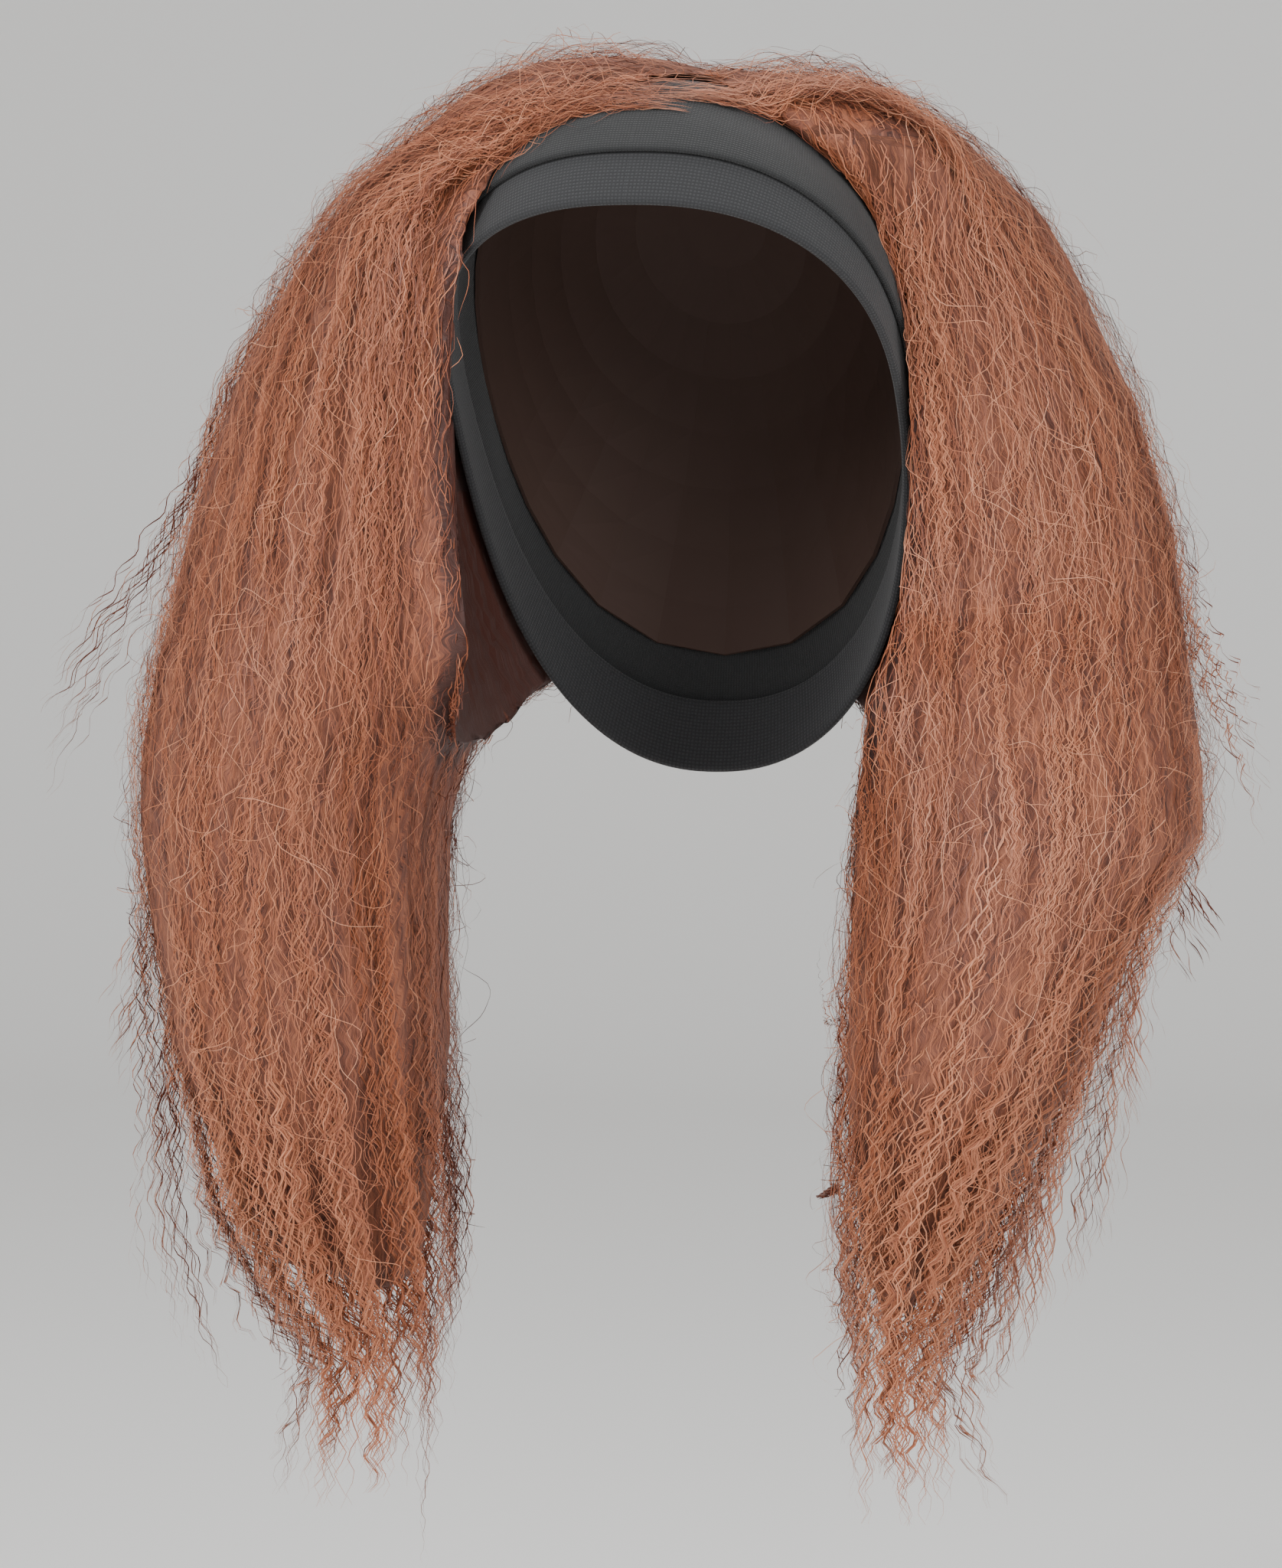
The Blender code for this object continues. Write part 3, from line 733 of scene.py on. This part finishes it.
surfaceLook = {
    "strands": 1300,
    "nearHead": 8,  # how many times more often strands start close to the head
    "samples": 12,
    "fine": 19,
    "length": (0.030, 0.070),
    "lift": (0.0002, 0.0014),
    "reach": 1.45,  # how far from the head they lie, as a share of its size
    "lowest": -0.30,
    "backward": 0.012,
    "shadow": 0.14,
}


def surfaceStrands(mass, side, seed):
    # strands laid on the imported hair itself, so that it has combed hair where the outline's lines can't reach
    rng = np.random.default_rng(seed + 40)
    look = surfaceLook
    mesh = mass.data
    points, normals = readVectors(mesh, "co"), readVectors(mesh, "normal")
    near = np.zeros(len(points))
    mesh.attributes["nearHead"].data.foreach_get("value", near)
    tree = BVHTree.FromPolygons(points.tolist(), [list(p.vertices) for p in mesh.polygons])
    inner = clearOfHead(points, 0)[0]
    mine = onSide(points, side) & (inner < look["reach"]) & (points[:, 2] > look["lowest"])
    mine &= (np.sum(normals * (points + (0, 0, headShape["up"])), axis=1) > 0) | (points[:, 2] < -0.14)
    close = np.clip((1.25 - inner) / 0.15, 0, 1) * np.where(points[:, 2] > -0.09, 3, 1)
    weight = np.where(mine, 1 + look["nearHead"] * close, 0.0)
    count = look["strands"]
    pick = rng.choice(len(points), count, p=weight / weight.sum())
    samples = look["samples"]
    place, facing = points[pick].copy(), normals[pick].copy()
    path, out = np.zeros((count, samples, 3)), np.zeros((count, samples, 3))
    length = rng.uniform(*look["length"], count)
    fan = rng.normal(0, 0.12, count)
    for k in range(samples):
        path[:, k], out[:, k] = place, facing
        away = np.array((0, look["backward"], -0.09)) + np.zeros((count, 3))
        outward = np.clip(place[:, 0] - hairShape["partingX"], -0.05, 0.05)
        away[:, 0] = outward * np.clip((place[:, 2] + 0.09) / 0.09, 0, 1) + fan * 0.03
        away -= facing * np.sum(away * facing, axis=1)[:, None]
        place = place + unit(away) * (length / (samples - 1))[:, None]
        for n in range(count):
            place[n], facing[n] = tree.find_nearest(place[n])[:2]
    for _ in range(6):
        path[:, 1:-1] = (path[:, :-2] + path[:, 2:] + 2 * path[:, 1:-1]) / 4
        out[:, 1:-1] = unit(out[:, :-2] + out[:, 2:] + 2 * out[:, 1:-1])
    fine = np.linspace(0, samples - 1, look["fine"])
    low = np.minimum(fine.astype(int), samples - 2)
    mix = (fine - low)[None, :, None]
    path = path[:, low] * (1 - mix) + path[:, low + 1] * mix
    out = unit(out[:, low] * (1 - mix) + out[:, low + 1] * mix)
    steps = np.linalg.norm(np.diff(path, axis=1), axis=2)
    s = np.concatenate((np.zeros((count, 1)), np.cumsum(steps, axis=1)), axis=1)
    kept = s[:, -1] > 0.02
    crimp = {
        "crimp": rng.uniform(0.0004, 0.0009, count)[kept], "crimpLength": rng.uniform(0.011, 0.016, count)[kept],
        "phase": rng.uniform(0, 6.28, count)[kept], "wander": ((0.0014, 0.04), (0.0008, 0.018)),
    }
    path, out, s = path[kept], out[kept], s[kept]
    depth = rng.uniform(*look["lift"], len(s))[:, None] + np.zeros_like(s)
    path = crimped(rng, path, out, depth, s, s + 0.03, crimp)
    path = clearOfHead(path, hairLift["surface"])[1]
    good = steady(path)
    shadow = look["shadow"] * np.clip(near[pick][kept], 0, 1) * (path[:, 0, 2] < -0.06)
    tone = rng.normal(0.46, 0.16, len(path)) - shadow
    return path[good], out[good], tone[good], np.full(good.sum(), hairLook["strandWidth"] * 1.3)


def betweenHeights(bundles, low, high):
    # the strands whose middle lies between two heights
    kept = []
    for bundle in bundles:
        middle = bundle[0][..., 2].mean(axis=1)
        kept.append([values[(middle > low) & (middle <= high)] for values in bundle])
    return kept


def addHair(material, mass):
    for side, seed in (("left", 3), ("right", 8)):
        rng = np.random.default_rng(seed + 20)
        bundles = sideOfHair(side, seed) + [surfaceStrands(mass, side, seed)]
        for part, low, high in (("upper", -0.13, 1), ("middle", -0.27, -0.13), ("lower", -1, -0.27)):
            strandObject(f"hair_strands_{part}_{side}", betweenHeights(bundles, low, high), material, rng)


massLook = {
    "grain": 0.0039,
    "drawIn": 0.0028,
    "ridge": 0.0022,
    "taperFrom": 0.72,  # drops between which it narrows to the share below
    "taperTo": 0.98,
    "taperShare": 0.48,
    "endFrom": 0.88,  # below this drop, heights keep only the share below
    "endShare": 0.25,
    "spike": 0.00045,
    "spikePasses": 30,
    "radiusMm": 70,
}


def keepLargest(mesh):
    # drops the small crumbs that the joining leaves where a lock is thinner than its grain
    work = bmesh.new()
    work.from_mesh(mesh)
    unseen, groups = set(work.verts), []
    while unseen:
        group, stack = [], [unseen.pop()]
        while stack:
            here = stack.pop()
            group.append(here)
            beside = {edge.other_vert(here) for edge in here.link_edges} & unseen
            unseen -= beside
            stack += beside
        groups.append(group)
    largest = max(len(group) for group in groups)
    crumbs = [vertex for group in groups if len(group) < largest * 0.2 for vertex in group]
    bmesh.ops.delete(work, geom=crumbs, context="VERTS")
    work.to_mesh(mesh)
    work.free()


def withoutSpikes(mesh, points):
    # a corner that stands out from its neighbours goes back among them
    ends = np.zeros(len(mesh.edges) * 2, np.int32)
    mesh.edges.foreach_get("vertices", ends)
    ends = ends.reshape(-1, 2)
    for _ in range(massLook["spikePasses"]):
        total = np.zeros(points.shape)
        np.add.at(total, ends[:, 0], points[ends[:, 1]])
        np.add.at(total, ends[:, 1], points[ends[:, 0]])
        middle = total / np.maximum(np.bincount(ends.ravel(), minlength=len(points)), 1)[:, None]
        out = np.linalg.norm(points - middle, axis=1)
        share = np.clip((out - massLook["spike"]) / massLook["spike"], 0, 1)
        points = points + (middle - points) * share[:, None]
    return points


def joinedHair(names):
    # the solids made one mesh with an even grain
    corners, faces = [], []
    for name in names:
        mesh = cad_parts[name].data
        faces += [[i + len(corners) for i in p.vertices] for p in mesh.polygons]
        corners += [tuple(v.co) for v in mesh.vertices]
    rough = bpy.data.meshes.new("hair_mass_rough")
    rough.from_pydata(corners, [], faces)
    made = addObject("hair_mass", rough)
    join = made.modifiers.new("join", "REMESH")
    join.mode = "VOXEL"
    join.voxel_size = massLook["grain"]
    soften = made.modifiers.new("soften", "SMOOTH")
    soften.factor = 0.5
    soften.iterations = 4
    bpy.context.view_layer.update()
    mesh = bpy.data.meshes.new_from_object(made.evaluated_get(bpy.context.evaluated_depsgraph_get()))
    made.modifiers.clear()
    made.data = mesh
    keepLargest(mesh)
    return made, mesh


def flowPlaces(points):
    # the facing and the length along the flow of the lines next to each point
    facing, length = np.zeros(len(points)), np.zeros(len(points))
    for side in ("left", "right"):
        grid = flowGrid(side)
        flat = grid["points"].reshape(-1, 3)
        tree = KDTree(len(flat))
        for k, point in enumerate(flat):
            tree.insert(point, k)
        tree.balance()
        for k in np.nonzero(onSide(points, side))[0]:
            near = tree.find_n(points[k], 5)
            pull = np.array([1 / (hit[2] + 0.001) ** 2 for hit in near])
            turns = grid["facings"][[hit[1] // flow["rows"] for hit in near]]
            facing[k] = math.atan2(np.sum(pull * np.sin(turns)), np.sum(pull * np.cos(turns)))
            length[k] = np.sum(pull * [hit[1] % flow["rows"] for hit in near]) / pull.sum() * flow["step"]
    return facing, length


def thinnedHair(points, drop):
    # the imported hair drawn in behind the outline, and narrower towards the tips
    look = massLook
    thin = np.clip((drop - look["taperFrom"]) / (look["taperTo"] - look["taperFrom"]), 0, 1)
    factor = 1 - (1 - look["taperShare"]) * thin ** 1.2
    for side in ("left", "right"):
        mine = np.nonzero(onSide(points, side))[0]
        outer, inner, front, back = section = sectionAt(side, drop[mine])
        middleX, middleY = (outer + inner) / 2, (front + back) / 2
        x, y = points[mine, 0] * sideWay[side], points[mine, 1]
        reach = sectionSpread(x, y, section) ** (1 / hairShape["squareness"])
        x, y = x - middleX, y - middleY
        radius = np.maximum(np.hypot(x, y), 1e-6)
        outline = radius / np.maximum(reach, 1e-6)
        table = np.array(denseInset[side])
        outward = np.clip(x / radius, 0, 1) ** 1.3
        wanted = outline - look["drawIn"] - np.interp(drop[mine], table[:, 0], table[:, 1]) * outward
        pull = np.minimum(1, wanted / radius)
        pull = 1 + (pull - 1) * np.clip((drop[mine] - 0.10) / 0.08, 0, 1)
        pull = np.maximum(pull, 0.05) * factor[mine]
        points[mine, 0] = sideWay[side] * (middleX + x * pull)
        points[mine, 1] = middleY + y * pull
    return points


def addHairMass(material):
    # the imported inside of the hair, which the strands lie on
    names = ["hair_crown_left", "hair_crown_right", "hair_fall_left", "hair_fall_right"]
    made, mesh = joinedHair(names)
    points, normal = readVectors(mesh, "co"), readVectors(mesh, "normal")
    facing, length = flowPlaces(points)
    rise = np.where(onSide(points, "left"), hairShape["rise"]["left"], hairShape["rise"]["right"])
    drop = (rise - points[:, 2]) / (rise + hairShape["drop"])
    free = np.clip((clearOfHead(points, hairLift["mass"])[0] - 1.02) / 0.05, 0, 1)
    ridges = np.sin(facing * 23 + length * 14) + np.sin(facing * 41 - length * 23) * 0.6
    depth = massLook["drawIn"] + massLook["ridge"] * ridges
    points = thinnedHair(points - normal * (depth * free)[:, None], drop)
    # it ends in a blunt edge, and the strands' tips hang below
    past = np.maximum(drop - massLook["endFrom"], 0) * (rise + hairShape["drop"])
    points[:, 2] += past * (1 - massLook["endShare"])
    points = clearOfHead(withoutSpikes(mesh, points), hairLift["mass"])[1]
    mesh.vertices.foreach_set("co", points.astype(np.float32).ravel())
    # painted shade: hair close to the head and below its top is marked to be drawn darker
    dim = mesh.attributes.new("nearHead", "FLOAT", "POINT")
    inside = np.clip(1.25 - free * 1.25, 0, 1) * np.clip((-0.05 - points[:, 2]) / 0.05, 0, 1)
    dim.data.foreach_set("value", inside.astype(np.float32))
    loops = np.zeros(len(mesh.loops), np.int32)
    mesh.loops.foreach_get("vertex_index", loops)
    layout = mesh.uv_layers.new(name="strandMm")
    radiusMm = massLook["radiusMm"]
    uv = np.stack((facing * radiusMm, length * 1000), axis=1)[loops].astype(np.float32)
    for polygon in mesh.polygons:
        # a face across the seam at the back takes its values from one side of it
        span = slice(polygon.loop_start, polygon.loop_start + polygon.loop_total)
        row = uv[span, 0]
        if row.max() - row.min() > 200:
            uv[span, 0] = np.where(row < 0, row + 2 * math.pi * radiusMm, row)
    layout.data.foreach_set("uv", uv.ravel())
    mesh.shade_smooth()
    mesh.update()
    made.data.materials.append(material)
    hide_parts(*names)
    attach(made, "root")
    print("hair_mass", len(mesh.polygons) * 2, "triangles")
    return made


# The cloth pieces: each is a closed loop of rounded cloth round the head

# the hem reaches under the band, by a share of its own width
bandLook = {"rows": 26, "columns": 300, "roundRows": 4, "hemRows": 15, "hemReach": 1.30}


def clothLoop(name, edge, thickness, columns):
    # edge gives rows of (around -> from pole, lift) down the cloth; the back follows the face at its thickness
    around = np.linspace(0, 2 * math.pi, columns, endpoint=False)
    faceRows, backRows = [], []
    for fromPole, lift in edge(around):
        backRows.append(headPoint(around, fromPole, lift))
        faceRows.append(headPoint(around, fromPole, lift + thickness))
    firstRound = roundEdge(backRows[0], faceRows[0], faceRows[1])
    lastRound = roundEdge(faceRows[-1], backRows[-1], faceRows[-2])
    rows = faceRows + lastRound + backRows[::-1] + firstRound
    points = np.concatenate(rows)
    count = len(rows)
    faces, uvs = [], []
    spaces = [np.linalg.norm(rows[(k + 1) % count] - rows[k], axis=1).mean() for k in range(count)]
    down = np.concatenate(([0], np.cumsum(spaces)))
    steps = np.linalg.norm(np.roll(rows[0], -1, axis=0) - rows[0], axis=1)
    along = np.concatenate(([0], np.cumsum(steps)))
    for k in range(count):
        n = (k + 1) % count
        for c in range(columns):
            m = (c + 1) % columns
            faces.append((k * columns + c, n * columns + c, n * columns + m, k * columns + m))
            uvs += [(along[i], down[j]) for i, j in ((c, k), (c, k + 1), (c + 1, k + 1), (c + 1, k))]
    mesh = bpy.data.meshes.new(name)
    mesh.from_pydata(points.tolist(), [], faces)
    layout = mesh.uv_layers.new(name="clothMm")
    layout.data.foreach_set("uv", (np.array(uvs, np.float32) * 1000).ravel())
    mesh.shade_smooth()
    mesh.update()
    work = bmesh.new()
    work.from_mesh(mesh)
    bmesh.ops.recalc_face_normals(work, faces=work.faces)
    work.to_mesh(mesh)
    work.free()
    return addObject(name, mesh)


def roundEdge(start, end, beside):
    # a half-round from one face of the cloth to the other, bulging away from the cloth
    middle = (start + end) / 2
    half = (start - end) / 2
    out = middle - beside
    out = out - half * (np.sum(out * half, axis=1) / np.maximum(np.sum(half * half, axis=1), 1e-12))[:, None]
    out = unit(out) * np.linalg.norm(half, axis=1, keepdims=True)
    angles = np.linspace(0, math.pi, bandLook["roundRows"] + 2)[1:-1]
    return [middle + half * math.cos(a) + out * math.sin(a) for a in angles]


def bandEdge(around):
    rear = aroundRing(bandRearEdge, around)
    front = aroundRing(bandFrontEdge, around) - aroundRing(hemWidth, around)
    overCap = clothThickness["cap"] + clothThickness["gap"]
    overHem = clothThickness["hem"] + clothThickness["gap"]
    for share in np.linspace(0, 1, bandLook["rows"]):
        lift = np.interp(share, (0, 0.24, 0.76, 1), (overCap, overCap, overHem, overHem))
        soft = 0.0006 * np.sin(around * 5 + share * 4) * math.sin(math.pi * share)
        yield np.radians(rear + (front - rear) * share), lift + soft


def hemEdge(around):
    front = aroundRing(bandFrontEdge, around)
    hem = aroundRing(hemWidth, around)
    for share in np.linspace(bandLook["hemReach"], 0, bandLook["hemRows"]):
        yield np.radians(front - hem * share), np.full_like(around, 0.0)


def addBand():
    knit = knitMaterial("cotton-elastane jersey, charcoal", "#141516", "#272829", 0.9, 0.85)
    hemKnit = knitMaterial("ribbed jersey hem, charcoal", "#1A1A1C", "#2E2F31", 1.3, 0.9)
    hem = clothLoop("knit_hem", hemEdge, clothThickness["hem"], bandLook["columns"])
    hem.data.materials.append(hemKnit)
    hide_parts("headband_front_hem")
    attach(hem, "root")
    band = clothLoop("knit_band", bandEdge, clothThickness["band"], bandLook["columns"])
    band.data.materials.append(knit)
    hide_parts("headband")
    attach(band, "root")


def addCap():
    made, tree = newMaterial("brown nylon wig net")
    finishMaterial(tree, Base_Color=linearColour("#3B2820"), Roughness=0.8)
    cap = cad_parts["wig_cap"]
    cap.data.materials.clear()
    cap.data.materials.append(made)


# Camera, light and floor

photo = {"width": 1675, "height": 2048, "pixelsPerMetre": 3840, "middleX": 882, "crownY": 123}
view = {"azimuth": 12.0, "elevation": 2.0, "distance": 2.2}


def addCamera():
    turn, lift = math.radians(view["azimuth"]), math.radians(view["elevation"])
    right = Vector((math.cos(turn), math.sin(turn), 0))
    back = Vector((math.sin(turn) * math.cos(lift), -math.cos(turn) * math.cos(lift), math.sin(lift)))
    aimX = (photo["width"] / 2 - photo["middleX"]) / photo["pixelsPerMetre"]
    aimZ = (photo["crownY"] - photo["height"] / 2) / photo["pixelsPerMetre"]
    aim = right * aimX + Vector((0, 0, aimZ))
    data = bpy.data.cameras.new("camera")
    data.sensor_fit = "VERTICAL"
    data.sensor_height = 24
    data.lens = 24 * view["distance"] / (photo["height"] / photo["pixelsPerMetre"])
    camera = addObject("camera", data)
    camera.location = aim + back * view["distance"]
    camera.rotation_euler = (aim - camera.location).to_track_quat("-Z", "Y").to_euler()
    bpy.context.scene.camera = camera


def addLight(name, place, aim, size, power):
    data = bpy.data.lights.new(name, "AREA")
    data.shape = "DISK"
    data.size = size
    data.energy = power
    lamp = addObject(name, data)
    lamp.location = place
    lamp.rotation_euler = (Vector(aim) - Vector(place)).to_track_quat("-Z", "Y").to_euler()


def addStudio():
    made, tree = newMaterial("matt white sweep")
    finishMaterial(tree, Base_Color=linearColour("#F4F3F1"), Roughness=0.9)
    bend = np.linspace(0, math.pi / 2, 12)
    profile = [(-4.5, -0.62)] + [(3.2 + 0.7 * math.sin(a), 0.08 - 0.7 * math.cos(a)) for a in bend] + [(3.9, 4.0)]
    points = [(x, y, z) for y, z in profile for x in (-5.0, 5.0)]
    faces = [(2 * k, 2 * k + 1, 2 * k + 3, 2 * k + 2) for k in range(len(profile) - 1)]
    mesh = bpy.data.meshes.new("sweep")
    mesh.from_pydata(points, [], faces)
    mesh.shade_smooth()
    sweep = addObject("sweep", mesh)
    sweep.data.materials.append(made)
    aim = (0, 0, -0.2)
    addLight("key", (-1.1, -1.9, 1.3), aim, 1.2, 60)
    addLight("fill", (1.7, -1.5, 0.5), aim, 1.4, 34)
    addLight("top", (0.0, 0.4, 1.8), aim, 1.2, 12)
    world = bpy.data.worlds.new("soft room")
    world.use_nodes = True
    background = world.node_tree.nodes["Background"].inputs
    background["Color"].default_value = linearColour("#FFFFFF")
    background["Strength"].default_value = 0.55
    bpy.context.scene.world = world


addCamera()
addStudio()
print("camera and studio done")
addBand()
addCap()
print("cloth done")
addHair(hairMaterial(), addHairMass(innerHairMaterial()))
print("hair done")
